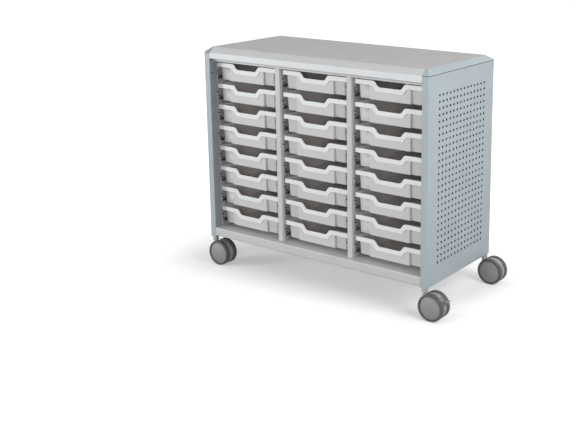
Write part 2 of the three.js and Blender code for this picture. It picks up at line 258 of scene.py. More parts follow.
# Tray tones: one plastic drawn lit and shaded, the lip and insides paler as painted light, the panel and
# front wall deeper as painted shade
LIP_LIT_COLOUR = (0.715, 0.73, 0.735)
PANEL_SHADE_COLOUR = (0.543, 0.538, 0.538)
WALL_SHADE_COLOUR = (0.492, 0.482, 0.478)
INSIDE_LIT_COLOUR = (0.8, 0.77, 0.755)
HOOD_COLOUR = (0.267, 0.271, 0.275)
HUB_COLOUR = (0.231, 0.235, 0.239)
TYRE_COLOUR = (0.065, 0.066, 0.068)
ZINC_COLOUR = (0.385, 0.4, 0.408)
FLECK_TONE = 0.93
SPANGLE_TONE = 0.88

# Effects in the finishes
COLOUR_STEP = 1 * MM
LIP_FACE = 0.5 * MM
FLECK_SCALE = 420
SPANGLE_SCALE = 260
SHEEN_SCALE = 3
SHEEN_SPREAD = 0.05
GRAIN_DEPTH = 0.2 * MM
MIX_INPUTS = (0, 6, 7)
MIX_RESULT = 2

# Light: name, place, target, size and power of each lamp
WORLD_LIGHT = 0.38
LIGHTS = (
    ("key_light", (-5.0, -5.0, 1.6), (0, 0, 0.5), 3.0, 240),
    ("front_light", (3.8, -6.8, 2.2), (0, 0, 0.5), 3.0, 235),
    ("right_light", (2.0, -0.35, 1.2), (0.3, 0, 0.5), 1.2, 19),
    ("back_light", (0.5, 5.5, 1.4), (0, 0, 0.5), 3.0, 140),
)

# Floor: glow beside the unit and away from it, the weaker glow beside the unit being painted shade round
# it, and tones as seen and as they throw light back
FLOOR_SIZE = 24
FLOOR_GLOW = (0.25, 0.78)
FLOOR_FADE = (0, 0.5)
FLOOR_DRIFT = 0.5
FLOOR_SEEN = ((0.84, 0.84, 0.845, 1), (0.85, 0.85, 0.855, 1))
FLOOR_BOUNCE = ((0.11, 0.11, 0.112, 1), (0.12, 0.12, 0.122, 1))

# Photo's camera
CAMERA_PLACE = (2.312, -3.126, 1.468)
CAMERA_TILT = math.radians(77.02)
CAMERA_HEADING = math.radians(34.66)
CAMERA_LENS = 62.04
CAMERA_SHIFT = (-0.154, -0.1366)


# Modelling steps

def node_box(node):
    """Lowest and highest corner of a CAD node."""
    low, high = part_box(node)
    return Vector(low), Vector(high)


def make_active(piece):
    """Leaves this piece the only one selected."""
    bpy.ops.object.select_all(action="DESELECT")
    piece.select_set(True)
    bpy.context.view_layer.objects.active = piece


def named(piece, name):
    """Names a piece and its mesh."""
    piece.name = name
    piece.data.name = name
    return piece


def apply_place(piece):
    """Puts a piece's place, turn and size into its mesh."""
    make_active(piece)
    bpy.ops.object.transform_apply()


def start_box(name, low, high):
    """A block between two corners, to be shaped further."""
    low, high = Vector(low), Vector(high)
    bpy.ops.mesh.primitive_cube_add(size=1, location=(low + high) / 2)
    piece = named(bpy.context.object, name)
    piece.scale = high - low
    apply_place(piece)
    return piece


def start_rod(name, centre, radius, length, along, sides):
    """A round bar along X, Y or Z, to be shaped further."""
    turns = {"X": (0, QUARTER, 0), "Y": (QUARTER, 0, 0), "Z": (0, 0, 0)}
    bpy.ops.mesh.primitive_cylinder_add(
        vertices=sides, radius=radius, depth=length, location=centre, rotation=turns[along])
    piece = named(bpy.context.object, name)
    apply_place(piece)
    return piece


@contextmanager
def editing(piece):
    """Edit mode on one piece, with nothing selected at the start."""
    make_active(piece)
    bpy.ops.object.mode_set(mode="EDIT")
    bpy.ops.mesh.select_all(action="DESELECT")
    yield
    bpy.ops.object.mode_set(mode="OBJECT")


def pick(piece, kind, wanted):
    """Selects the faces, edges or points of a piece that are wanted."""
    bpy.ops.mesh.select_mode(type=kind)
    bpy.ops.mesh.select_all(action="DESELECT")
    mesh = bmesh.from_edit_mesh(piece.data)
    parts = {"FACE": mesh.faces, "EDGE": mesh.edges, "VERT": mesh.verts}[kind]
    for part in parts:
        if wanted(part):
            part.select_set(True)
    bmesh.update_edit_mesh(piece.data)


def pick_all():
    """Selects the whole mesh that is being edited."""
    bpy.ops.mesh.select_all(action="SELECT")


def middle(part):
    """Middle of a face or an edge."""
    return sum((point.co for point in part.verts), Vector()) / len(part.verts)


def span(edge):
    """An edge's reach along X, Y and Z."""
    reach = edge.verts[1].co - edge.verts[0].co
    return Vector((abs(reach.x), abs(reach.y), abs(reach.z)))


def facing(axis, way):
    """A test for faces that look along an axis, way being 1 or -1."""
    return lambda face: getattr(face.normal, axis) * way > SQUARE_ON


def move(x=0.0, y=0.0, z=0.0):
    """Moves what is selected."""
    bpy.ops.transform.translate(value=(x, y, z))


def extrude(x=0.0, y=0.0, z=0.0):
    """Draws the selected faces or edges out."""
    bpy.ops.mesh.extrude_region_move(TRANSFORM_OT_translate={"value": (x, y, z)})


def draw_in(width):
    """Leaves a border of this width round the selected faces."""
    bpy.ops.mesh.inset(thickness=width)


def resize(x=1.0, y=1.0, z=1.0, about=(0, 0, 0)):
    """Scales what is selected about a point."""
    bpy.ops.transform.resize(value=(x, y, z), center_override=about)


def round_over(width, segments, points=False):
    """Rounds the selected edges or points."""
    bpy.ops.mesh.bevel(
        offset=width, offset_type="OFFSET", segments=segments, affect="VERTICES" if points else "EDGES")


def fold(centre, axis, angle=QUARTER):
    """Sweeps the selected edge round a bend line."""
    bpy.ops.mesh.spin(steps=FOLD_STEPS, angle=angle, center=centre, axis=axis)


def tidy_normals(piece, check, outward):
    """Merges doubles and turns all faces one way, so that the faces picked by check look outward."""
    with editing(piece):
        pick_all()
        bpy.ops.mesh.remove_doubles(threshold=TINY)
        bpy.ops.mesh.normals_make_consistent()
        mesh = bmesh.from_edit_mesh(piece.data)
        lean = sum(face.normal.dot(Vector(outward)) for face in mesh.faces if check(middle(face)))
        if lean < 0:
            bpy.ops.mesh.flip_normals()


def apply_modifier(piece, kind, **settings):
    """Adds a modifier with these settings and applies it."""
    make_active(piece)
    modifier = piece.modifiers.new(kind.title(), kind)
    for name, value in settings.items():
        setattr(modifier, name, value)
    bpy.ops.object.modifier_apply(modifier=modifier.name)


def thicken(piece, thickness, offset=-1):
    """Gives a sheet its thickness: against its normals, or along them with an offset of 1."""
    apply_modifier(piece, "SOLIDIFY", thickness=thickness, offset=offset, solidify_mode="NON_MANIFOLD",
                   nonmanifold_thickness_mode="CONSTRAINTS")


def repeat(piece, count, step):
    """Repeats a piece in a row."""
    apply_modifier(
        piece, "ARRAY", count=count, use_relative_offset=False, use_constant_offset=True,
        constant_offset_displace=step, use_merge_vertices=True, merge_threshold=TINY)


def smooth(piece):
    """Shades soft bends smooth and keeps hard edges."""
    make_active(piece)
    bpy.ops.object.shade_smooth_by_angle(angle=SMOOTH_ANGLE)


def soften(piece, width, segments=2):
    """Breaks the sharp edges of a finished shape."""
    apply_modifier(
        piece, "BEVEL", width=width, segments=segments, limit_method="ANGLE", angle_limit=BEVEL_ANGLE)
    smooth(piece)


def discard(*pieces):
    """Removes shapes that have served their purpose."""
    for piece in pieces:
        bpy.data.objects.remove(piece, do_unlink=True)


def combine(piece, other, operation):
    """Adds another shape to a piece or cuts it out, and uses the other one up."""
    apply_modifier(piece, "BOOLEAN", object=other, operation=operation, solver="EXACT")
    discard(other)


def join(first, *others):
    """Makes one piece of several that don't touch."""
    make_active(first)
    for piece in others:
        piece.select_set(True)
    bpy.ops.object.join()
    return first


def copy_piece(piece, name, place=(0, 0, 0), turn=0.0):
    """A copy with a mesh of its own, turned about Z and then moved."""
    make_active(piece)
    bpy.ops.object.duplicate()
    copy = named(bpy.context.object, name)
    copy.location = place
    copy.rotation_euler = (0, 0, turn)
    apply_place(copy)
    return copy


def mirror(piece):
    """Mirrors a piece in the plane X = 0."""
    with editing(piece):
        pick_all()
        resize(x=-1)
        bpy.ops.mesh.normals_make_consistent()
    return piece


def paint(piece, finish):
    """Gives a piece one finish."""
    piece.data.materials.clear()
    piece.data.materials.append(finish)


def settle(piece, finish, body, slot, *nodes):
    """Gives a piece even shading, its finish and the body it moves with, and hides the CAD nodes it
    stands for.
    """
    apply_modifier(piece, "WEIGHTED_NORMAL", keep_sharp=True)
    paint(piece, finish)
    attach(piece, body)
    if nodes:
        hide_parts(*nodes)


def settle_pair(pattern, name, finish, slot, node):
    """Copies a right-hand pattern to both sides of the carcass, turned about Z for the left."""
    for side, turn in (("left", math.pi), ("right", 0)):
        piece = copy_piece(pattern, f"{name}_{side}", turn=turn)
        settle(piece, finish, "carcass", slot, f"{node}_{side}")
    discard(pattern)


# Effects that finishes share

def start_group(name, output, **inputs):
    """A node group with its input and output nodes, from the kinds of its sockets."""
    group = bpy.data.node_groups.new(name, "ShaderNodeTree")
    for label, kind in inputs.items():
        group.interface.new_socket(label, in_out="INPUT", socket_type="NodeSocket" + kind)
    label, kind = output
    group.interface.new_socket(label, in_out="OUTPUT", socket_type="NodeSocket" + kind)
    return group, group.nodes.new("NodeGroupInput").outputs, group.nodes.new("NodeGroupOutput").inputs[0]


def set_input(tree, socket, value):
    """Links an input to a socket or gives it a value."""
    if isinstance(value, bpy.types.NodeSocket):
        tree.links.new(value, socket)
    else:
        socket.default_value = value


def stretch(tree, value, low, high, to_low=0.0, to_high=1.0):
    """Maps a value between two limits, each a number or a socket."""
    node = tree.nodes.new("ShaderNodeMapRange")
    limits = {"Value": value, "From Min": low, "From Max": high, "To Min": to_low, "To Max": to_high}
    for label, limit in limits.items():
        set_input(tree, node.inputs[label], limit)
    return node.outputs["Result"]


def vector_node(tree, operation, *operands):
    """A vector operation, whose result may be a vector or a number."""
    node = tree.nodes.new("ShaderNodeVectorMath")
    node.operation = operation
    for socket, operand in zip(node.inputs, operands):
        set_input(tree, socket, operand)
    return node.outputs["Value" if operation in ("DOT_PRODUCT", "LENGTH") else "Vector"]


def blend_colours(tree, factor, first, second):
    """Mixes two colour sockets."""
    node = tree.nodes.new("ShaderNodeMix")
    node.data_type = "RGBA"
    for index, socket in zip(MIX_INPUTS, (factor, first, second)):
        tree.links.new(socket, node.inputs[index])
    return node.outputs[MIX_RESULT]


def make_noise(name, output, kind, ends, detail, low, high):
    """Noise between two ends, which are inputs of one kind: colours or numbers."""
    end_kinds = dict.fromkeys(ends, kind)
    group, given, result = start_group(name, (output, kind), Place="Vector", Scale="Float", **end_kinds)
    noise = group.nodes.new("ShaderNodeTexNoise")
    for label, value in (("Vector", given["Place"]), ("Scale", given["Scale"]), ("Detail", detail)):
        set_input(group, noise.inputs[label], value)
    first, second = (given[end] for end in ends)
    if kind == "Color":
        between = blend_colours(group, stretch(group, noise.outputs["Fac"], low, high), first, second)
    else:
        between = stretch(group, noise.outputs["Fac"], low, high, first, second)
    group.links.new(between, result)
    return group


def make_step():
    """One colour up to a distance along a direction and another one past it."""
    group, given, result = start_group(
        "Colour step", ("Colour", "Color"), Place="Vector", Along="Vector", Start="Float", End="Float",
        Before="Color", Past="Color")
    reach = vector_node(group, "DOT_PRODUCT", given["Place"], given["Along"])
    factor = stretch(group, reach, given["Start"], given["End"])
    group.links.new(blend_colours(group, factor, given["Before"], given["Past"]), result)
    return group


def make_spangle():
    """Crystal patches of zinc plating."""
    group, given, result = start_group(
        "Zinc spangle", ("Colour", "Color"), Place="Vector", Scale="Float", Deep="Color", Pale="Color")
    cells = group.nodes.new("ShaderNodeTexVoronoi")
    group.links.new(given["Place"], cells.inputs["Vector"])
    group.links.new(given["Scale"], cells.inputs["Scale"])
    split = group.nodes.new("ShaderNodeSeparateColor")
    group.links.new(cells.outputs["Color"], split.inputs[0])
    group.links.new(blend_colours(group, split.outputs[0], given["Deep"], given["Pale"]), result)
    return group


GRAIN = make_noise("Surface grain", "Height", "Float", ("Low", "High"), detail=3, low=0.25, high=0.75)
DRIFT = make_noise("Tone drift", "Colour", "Color", ("Deep", "Pale"), detail=4, low=0.32, high=0.68)
SHEEN = make_noise("Sheen drift", "Roughness", "Float", ("Smooth", "Rough"), detail=5, low=0.3, high=0.7)
FLECKS = make_noise("Flecks", "Colour", "Color", ("Ground", "Fleck"), detail=1, low=0.56, high=0.68)
STEP = make_step()
SPANGLE = make_spangle()


# Finishes

def tone(colour, factor=1.0):
    """A colour made deeper or paler, with its alpha."""
    return tuple(channel * factor for channel in colour) + (1.0,)


def add_effect(tree, group, place, **values):
    """Places a shared effect in a finish and returns its output."""
    node = tree.nodes.new("ShaderNodeGroup")
    node.node_tree = group
    tree.links.new(place, node.inputs["Place"])
    for label, value in values.items():
        set_input(tree, node.inputs[label], value)
    return node.outputs[0]


def start_finish(name):
    """A finish with its node tree, the inputs of its surface and the place on the piece."""
    finish = bpy.data.materials.new(name)
    finish.use_nodes = True
    tree = finish.node_tree
    place = tree.nodes.new("ShaderNodeTexCoord").outputs["Object"]
    return finish, tree, tree.nodes["Principled BSDF"].inputs, place


def make_finish(name, colour, roughness, grain=600, bump=0.12, drift=9, spread=0.03, metallic=0.0,
                recolour=None):
    """A painted, plated or moulded surface: colour that drifts, uneven sheen and a fine grain."""
    finish, tree, surface, place = start_finish(name)
    tint = add_effect(tree, DRIFT, place, Scale=drift, Deep=tone(colour, 1 - spread),
                      Pale=tone(colour, 1 + spread))
    if recolour:
        tint = recolour(tree, place, tint)
    tree.links.new(tint, surface["Base Color"])
    surface["Metallic"].default_value = metallic
    sheen = add_effect(tree, SHEEN, place, Scale=drift * SHEEN_SCALE, Smooth=roughness - SHEEN_SPREAD,
                       Rough=roughness + SHEEN_SPREAD)
    tree.links.new(sheen, surface["Roughness"])
    relief = tree.nodes.new("ShaderNodeBump")
    height = add_effect(tree, GRAIN, place, Scale=grain, Low=0, High=1)
    for label, value in (("Strength", bump), ("Distance", GRAIN_DEPTH), ("Height", height)):
        set_input(tree, relief.inputs[label], value)
    tree.links.new(relief.outputs["Normal"], surface["Normal"])
    return finish


def fleck_laminate(tree, place, ground):
    """Faint flecks in the laminate."""
    return add_effect(tree, FLECKS, place, Scale=FLECK_SCALE, Ground=ground,
                      Fleck=tone(LAMINATE_COLOUR, FLECK_TONE))


def colour_trays(tree, place, lit_lip):
    """Painted light and shade on one plastic: pale lips as painted light, a deeper centre panel and a
    deeper recessed front wall beside it as painted shade, and pale warm insides as painted light in the
    tub's shade.
    """
    lip_front = node_box("tray_left_1")[0].y

    def behind(depth, before, after):
        start = lip_front + depth
        return add_effect(tree, STEP, place, Along=(0, 1, 0), Start=start, End=start + COLOUR_STEP,
                          Before=before, Past=after)

    # Painted shade on the recessed front wall beside the panel, painted light on the shaded insides
    shaded_walls = behind(TRAY_FRONT_RECESS + TRAY_DRAFT + TRAY_WALL, tone(WALL_SHADE_COLOUR), tone(INSIDE_LIT_COLOUR))
    # Painted shade on the centre panel
    panel = behind(PANEL_RECESS + PANEL_CORNER, tone(PANEL_SHADE_COLOUR), shaded_walls)
    # Painted light on the lip
    return behind(LIP_FACE, lit_lip, panel)


def colour_edging(tree, place, upright):
    """A little deeper tone on the sloping part of the edging."""
    shoulder = node_box("top_panel")[1].z - CHAMFER_DROP
    return add_effect(tree, STEP, place, Along=(0, 0, 1), Start=shoulder - COLOUR_STEP,
                      End=shoulder + 2 * COLOUR_STEP, Before=upright, Past=tone(SLOPE_COLOUR))


def colour_sides(tree, place, outside):
    """Painted shade: a deeper tone of the side paint on the skins that face the trays, and near-black
    painted shade in the hollow behind the holes.
    """
    low, high = node_box("side_panel_right")
    distance = vector_node(tree, "ABSOLUTE", place)
    half_sheet = SHEET / 2

    def past(along, limit, before, after):
        return add_effect(tree, STEP, distance, Along=along, Start=limit - TINY, End=limit + TINY,
                          Before=before, Past=after)

    # Painted shade: near-black in the hollow between the outer sheet and the inner skin
    hollow = past((1, 0, 0), high.x - half_sheet, tone(HOLLOW_SHADE_COLOUR), outside)
    shell = past((0, 1, 0), high.y - SIDE_FOLD, hollow, outside)
    # Painted shade: a deeper tone on the skins that face the trays
    return past((1, 0, 0), low.x + half_sheet, tone(SKIN_SHADE_COLOUR), shell)


def spangle_zinc(tree, place, pale):
    """Small crystal patches in the zinc."""
    return add_effect(tree, SPANGLE, place, Scale=SPANGLE_SCALE, Deep=tone(ZINC_COLOUR, SPANGLE_TONE),
                      Pale=pale)


# Side paint, with painted shade on its inner skins and in its hollow
SIDE_PAINT_AND_SHADE = make_finish(
    "Side powder coat and painted shade", SIDE_COLOUR, roughness=0.45, grain=650, bump=0.22, recolour=colour_sides)
FRAME_PAINT = make_finish("Frame powder coat", FRAME_COLOUR, roughness=0.46, grain=650, bump=0.22)
TOP_EDGING = make_finish(
    "Top edging", EDGING_COLOUR, roughness=0.42, grain=800, bump=0.1, recolour=colour_edging)
TOP_LAMINATE = make_finish(
    "Top laminate", LAMINATE_COLOUR, roughness=0.5, grain=900, drift=5, spread=0.015,
    recolour=fleck_laminate)
CAP_PLASTIC = make_finish("Cap plastic", CAP_COLOUR, roughness=0.5, grain=700, bump=0.15)
RUNNER_PLASTIC = make_finish("Runner plastic", RUNNER_COLOUR, roughness=0.5, drift=60, spread=0.3)
# Dark plastic that is partly painted shade for the gaps and slots beside the trays
PIN_PLASTIC_AND_SHADE = make_finish("Pin plastic and painted shade", PIN_DARK_AND_SHADE_COLOUR, roughness=0.45)
# One tray plastic with painted light on its lips and insides and painted shade on its front
TRAY_PLASTIC_LIT_AND_SHADED = make_finish(
    "Tray plastic, painted light and shade", LIP_LIT_COLOUR, roughness=0.42, grain=700, bump=0.1, drift=7, spread=0.02,
    recolour=colour_trays)
HOOD_PLASTIC = make_finish("Hood nylon", HOOD_COLOUR, roughness=0.42, bump=0.14)
HUB_PLASTIC = make_finish("Hub nylon", HUB_COLOUR, roughness=0.48, bump=0.14)
TYRE_RUBBER = make_finish(
    "Tyre rubber", TYRE_COLOUR, roughness=0.6, grain=500, bump=0.25, drift=30, spread=0.08)
ZINC_PLATE = make_finish(
    "Zinc plate", ZINC_COLOUR, roughness=0.38, grain=500, bump=0.06, metallic=0.15,
    recolour=spangle_zinc)


# Top, caps and header rail

def build_top():
    """Board with sloping long edges, its laminate and the rail under its front."""
    low, high = node_box("top_panel")
    shoulder = high.z - CHAMFER_DROP
    foot = shoulder - TOP_EDGE
    board = start_box("top_board", (low.x, low.y, foot), (high.x, high.y, shoulder))
    with editing(board):
        pick(board, "FACE", facing("z", 1))
        extrude(z=CHAMFER_DROP - LAMINATE)
        resize(y=(high.y - CHAMFER_RUN) / high.y)
        pick(board, "EDGE", lambda edge: span(edge).x > high.x)
        round_over(TOP_ROUND, segments=4)
    smooth(board)
    settle(board, TOP_EDGING, "carcass", "top_laminate", "top_panel")

    flat = high.y - CHAMFER_RUN - LAMINATE_MARGIN
    laminate = start_box("top_laminate", (low.x, -flat, high.z - LAMINATE), (high.x, flat, high.z))
    soften(laminate, LAMINATE_ROUND)
    settle(laminate, TOP_LAMINATE, "carcass", "top_laminate", "top_panel")

    rail_rear = node_box("divider_left")[0].y - RAIL_GAP
    rail = start_box("header_rail", (low.x, rail_rear - RAIL_SHEET, low.z),
                     (high.x, rail_rear, foot - TINY))
    soften(rail, RAIL_ROUND, segments=3)
    settle(rail, FRAME_PAINT, "carcass", "frame_steel", "top_panel")


def build_caps():
    """End caps that slope down along the sides, with hipped ends."""
    low, high = node_box("end_cap_right")
    inner = low.x + CAP_SEAM
    cap = start_box("end_cap_pattern", (inner, low.y, low.z + CAP_SEAM),
                    (high.x, high.y, low.z + CAP_SEAM + CAP_FOOT))
    with editing(cap):
        pick(cap, "FACE", facing("z", 1))
        extrude(z=high.z - low.z - CAP_SEAM - CAP_FOOT)
        ridge = CAP_RIDGE / (high.x - inner)
        resize(x=ridge, y=(high.y - CHAMFER_RUN) / high.y, about=(inner, 0, high.z))
    soften(cap, CAP_ROUND, segments=3)
    with editing(cap):
        pick(cap, "FACE", lambda face: middle(face).x < inner + TINY)
        draw_in(CAP_SEAM_DEPTH)
        extrude(x=-CAP_SEAM)
    settle_pair(cap, "cap", CAP_PLASTIC, "cap_plastic", "end_cap")


# Side panels

def start_hole_cell(place):
    """One square of sheet with a round hole, in the plane of the side's outer face."""
    bpy.ops.mesh.primitive_plane_add(size=1, location=place, rotation=(QUARTER, 0, QUARTER))
    cell = named(bpy.context.object, "side_panel_pattern")
    cell.scale = (HOLE_PITCH_Y, HOLE_PITCH_Z, 1)
    apply_place(cell)
    with editing(cell):
        bpy.ops.mesh.select_mode(type="EDGE")
        pick_all()
        bpy.ops.mesh.delete(type="ONLY_FACE")
        pick_all()
        bpy.ops.mesh.subdivide(number_cuts=HOLE_SIDES // 4 - 1)
        half_step = math.pi / HOLE_SIDES
        bpy.ops.mesh.primitive_circle_add(
            vertices=HOLE_SIDES, radius=HOLE_RADIUS, fill_type="NOTHING", location=place,
            rotation=(QUARTER, half_step, QUARTER))
        pick_all()
        bpy.ops.mesh.bridge_edge_loops()
    return cell


def build_sides():
    """Perforated sheet folded round the front and rear into an inner skin."""
    low, high = node_box("side_panel_right")
    half_field = HOLE_COLUMNS * HOLE_PITCH_Y / 2
    field_top = HOLE_FIELD_FOOT + HOLE_ROWS * HOLE_PITCH_Z
    bend = high.y - SIDE_FOLD
    panel = start_hole_cell((high.x, HOLE_PITCH_Y / 2 - half_field, HOLE_FIELD_FOOT + HOLE_PITCH_Z / 2))
    repeat(panel, HOLE_COLUMNS, (0, HOLE_PITCH_Y, 0))
    repeat(panel, HOLE_ROWS, (0, 0, HOLE_PITCH_Z))

    def on_line(axis, value):
        return lambda edge: edge.is_boundary and all(
            abs(getattr(point.co, axis) - value) < TINY for point in edge.verts)

    with editing(panel):
        for way in (-1, 1):
            pick(panel, "EDGE", on_line("y", way * half_field))
            extrude(y=way * (bend - half_field))
        for start, end in ((HOLE_FIELD_FOOT, low.z), (field_top, high.z)):
            pick(panel, "EDGE", on_line("z", start))
            extrude(z=end - start)
        for way in (-1, 1):
            axis = (0, 0, -way)
            pick(panel, "EDGE", on_line("y", way * bend))
            fold((high.x - SIDE_FOLD, way * bend, 0), axis)
            extrude(x=low.x - high.x + 2 * SIDE_FOLD)
            fold((low.x + SIDE_FOLD, way * bend, 0), axis)
        extrude(y=-2 * bend)
    tidy_normals(panel, lambda at: at.x > high.x - TINY, (1, 0, 0))
    thicken(panel, SHEET)
    smooth(panel)
    settle_pair(panel, "side_skin", SIDE_PAINT_AND_SHADE, "side_steel", "side_panel")


# Dividers, shelf and back

def build_dividers():
    """Hollow dividers with rounded front and rear edges."""
    for side in SIDES:
        low, high = node_box(f"divider_{side}")
        wall = start_box(f"divider_skin_{side}", low, high)
        with editing(wall):
            pick(wall, "FACE", lambda face: abs(face.normal.z) > SQUARE_ON)
            bpy.ops.mesh.delete(type="ONLY_FACE")
            pick(wall, "EDGE", lambda edge: span(edge).z > TINY)
            round_over(DIVIDER_FOLD, segments=5)
        thicken(wall, SHEET)
        smooth(wall)
        settle(wall, FRAME_PAINT, "carcass", "frame_steel", f"divider_{side}")


def build_shelf():
    """Bottom sheet with a flange and a hem along the front and the rear."""
    low, high = node_box("bottom_shelf")
    front, rear = low.y + SHELF_FOLD, high.y - SHELF_FOLD
    shelf = start_box("shelf_pan", (low.x, front, low.z), (high.x, rear, high.z))
    with editing(shelf):
        pick(shelf, "FACE", lambda face: face.normal.z < SQUARE_ON)
        bpy.ops.mesh.delete(type="FACE")
        for way, bend in ((-1, front), (1, rear)):
            pick(shelf, "EDGE", lambda edge: abs(middle(edge).y - bend) < TINY)
            fold((0, bend, high.z - SHELF_FOLD), (-way, 0, 0), -QUARTER)
            extrude(z=low.z - high.z + 2 * SHELF_FOLD)
            fold((0, bend, low.z + SHELF_FOLD), (-way, 0, 0), -QUARTER)
            extrude(y=-way * SHELF_HEM)
    tidy_normals(shelf, lambda at: at.z > high.z - TINY, (0, 0, 1))
    thicken(shelf, SHELF_SHEET)
    smooth(shelf)
    settle(shelf, FRAME_PAINT, "carcass", "frame_steel", "bottom_shelf")


def add_screws(name, radius, places, turn, finish):
    """A piece of pan-head screws with a drive recess, which look along +Y before the turn."""
    pattern = start_rod("screw_pattern", (0, radius / 8, 0), radius, radius / 2, "Y", SCREW_SIDES)
    with editing(pattern):
        pick(pattern, "FACE", facing("y", 1))
        draw_in(radius / 4)
        move(y=radius / 6)
        draw_in(radius / 3)
        extrude(y=-radius / 3)
    smooth(pattern)
    copies = [copy_piece(pattern, f"screw_{index}", place, turn) for index, place in enumerate(places)]
    discard(pattern)
    settle(named(join(*copies), name), finish, "carcass", "zinc_steel")


def build_back():
    """Back sheet with a recessed field and a row of screws along each edge."""
    low, high = node_box("back_panel")
    sheet = start_box("back_pan", low, high)
    with editing(sheet):
        pick(sheet, "FACE", facing("y", 1))
        draw_in(2 * BACK_MARGIN)
        draw_in(BACK_RECESS)
        move(y=-BACK_RECESS)
    soften(sheet, BACK_ROUND)
    settle(sheet, FRAME_PAINT, "carcass", "frame_steel", "back_panel")

    foot, head = low.z + BACK_MARGIN, high.z - BACK_MARGIN
    left, right = low.x + BACK_MARGIN, high.x - BACK_MARGIN
    pitch = (right - left) / (BACK_SCREW_COLUMNS - 1)
    rise = (head - foot) / (BACK_SCREW_ROWS + 1)
    places = []
    for z in (foot, head):
        places += [(left + pitch * index, high.y, z) for index in range(BACK_SCREW_COLUMNS)]
    for x in (left, right):
        places += [(x, high.y, foot + rise * (index + 1)) for index in range(BACK_SCREW_ROWS)]
    add_screws("back_screws", BACK_SCREW, places, 0, ZINC_PLATE)


def build_wall_screws():
    """Near-black screws on the inner skins of the side panels, near the front, in the pins' dark plastic
    that is partly painted shade.
    """
    left_low, left_high = node_box("side_panel_left")
    right_low = node_box("side_panel_right")[0]
    y = left_low.y + WALL_SCREW_SETBACK
    for side, x in (("left", left_high.x), ("right", right_low.x)):
        places = [(x, y, z) for z in WALL_SCREW_HEIGHTS]
        add_screws(f"wall_screws_{side}", WALL_SCREW, places, SIDES[side] * QUARTER, PIN_PLASTIC_AND_SHADE)


# Runner racks

def make_rack(low, high, tray_feet, seat_rise):
    """Slotted upright sheet with a runner for each tray, on a wall at X = 0."""
    front = low.y - RACK_LEAD
    sheet = start_box("rack_pattern", (0, front, low.z), (RACK_STAND, high.y, high.z))
    with editing(sheet):
        pick(sheet, "FACE", lambda face: face.normal.x < -SQUARE_ON or abs(face.normal.z) > SQUARE_ON)
        bpy.ops.mesh.delete(type="ONLY_FACE")
    thicken(sheet, RACK_SHEET)
    pitch = tray_feet[1] - tray_feet[0]
    half = Vector((2 * RACK_STAND, SLOT_WIDTH / 2, SLOT_HEIGHT / 2))
    for y in (front + SLOT_SETBACK, high.y - SLOT_SETBACK):
        for rise in SLOT_RISES:
            centre = Vector((0, y, tray_feet[0] + rise))
            slots = start_box("slots", centre - half, centre + half)
            repeat(slots, len(tray_feet), (0, 0, pitch))
            combine(sheet, slots, "DIFFERENCE")

    reach = high.x - low.x
    seat = tray_feet[0] + seat_rise
    runner = start_box("runner", (RACK_STAND, low.y + RUNNER_TAPER, seat - RUNNER_PLATE),
                       (reach, high.y, seat))
    with editing(runner):
        pick(runner, "FACE", facing("y", -1))
        extrude(y=-RUNNER_TAPER)
        move(z=-RUNNER_PLATE / 2)
        resize(z=0.5, about=(0, low.y, seat - RUNNER_PLATE))
        pick(runner, "VERT", lambda point: point.co.x < RACK_STAND + TINY
             and point.co.z < seat - RUNNER_PLATE / 2)
        move(z=RUNNER_PLATE - RUNNER_ROOT)
    soften(runner, RUNNER_ROUND)
    repeat(runner, len(tray_feet), (0, 0, pitch))
    smooth(sheet)
    return join(sheet, runner)


def make_pins(low, tray_feet, reach):
    """Near-black guide pins, stops and clips on the wall at X = 0, beside every tray: dark plastic made
    near-black as painted shade for the shaded gaps and slots there.
    """
    front, foot = low.y - RACK_LEAD, tray_feet[0]
    centre = ((reach + RACK_STAND) / 2, front + PIN_SETBACK, foot + PIN_RISE)
    pins = start_rod("pin_pattern", centre, PIN_RADIUS, reach - RACK_STAND, "X", PIN_SIDES)
    with editing(pins):
        pick(pins, "FACE", facing("x", 1))
        draw_in(PIN_TIP_INSET)
        move(x=PIN_TIP_RISE)
    smooth(pins)
    stop_front = front + STOP_SETBACK
    stops = start_box("stop_pattern", (STOP_REACH[0], stop_front, foot + STOP_RISE[0]),
                      (STOP_REACH[1], stop_front + STOP_DEPTH, foot + STOP_RISE[1]))
    soften(stops, STOP_ROUND)
    join(pins, stops)
    half = Vector((CLIP_REACH / 2, SLOT_WIDTH / 2 - CLIP_PLAY, SLOT_HEIGHT / 2 - CLIP_PLAY))
    for rise in SLOT_RISES:
        centre = Vector((CLIP_START + half.x, front + SLOT_SETBACK, foot + rise))
        clip = start_box("clip_pattern", centre - half, centre + half)
        soften(clip, CLIP_ROUND)
        join(pins, clip)
    repeat(pins, len(tray_feet), (0, 0, tray_feet[1] - foot))
    return pins


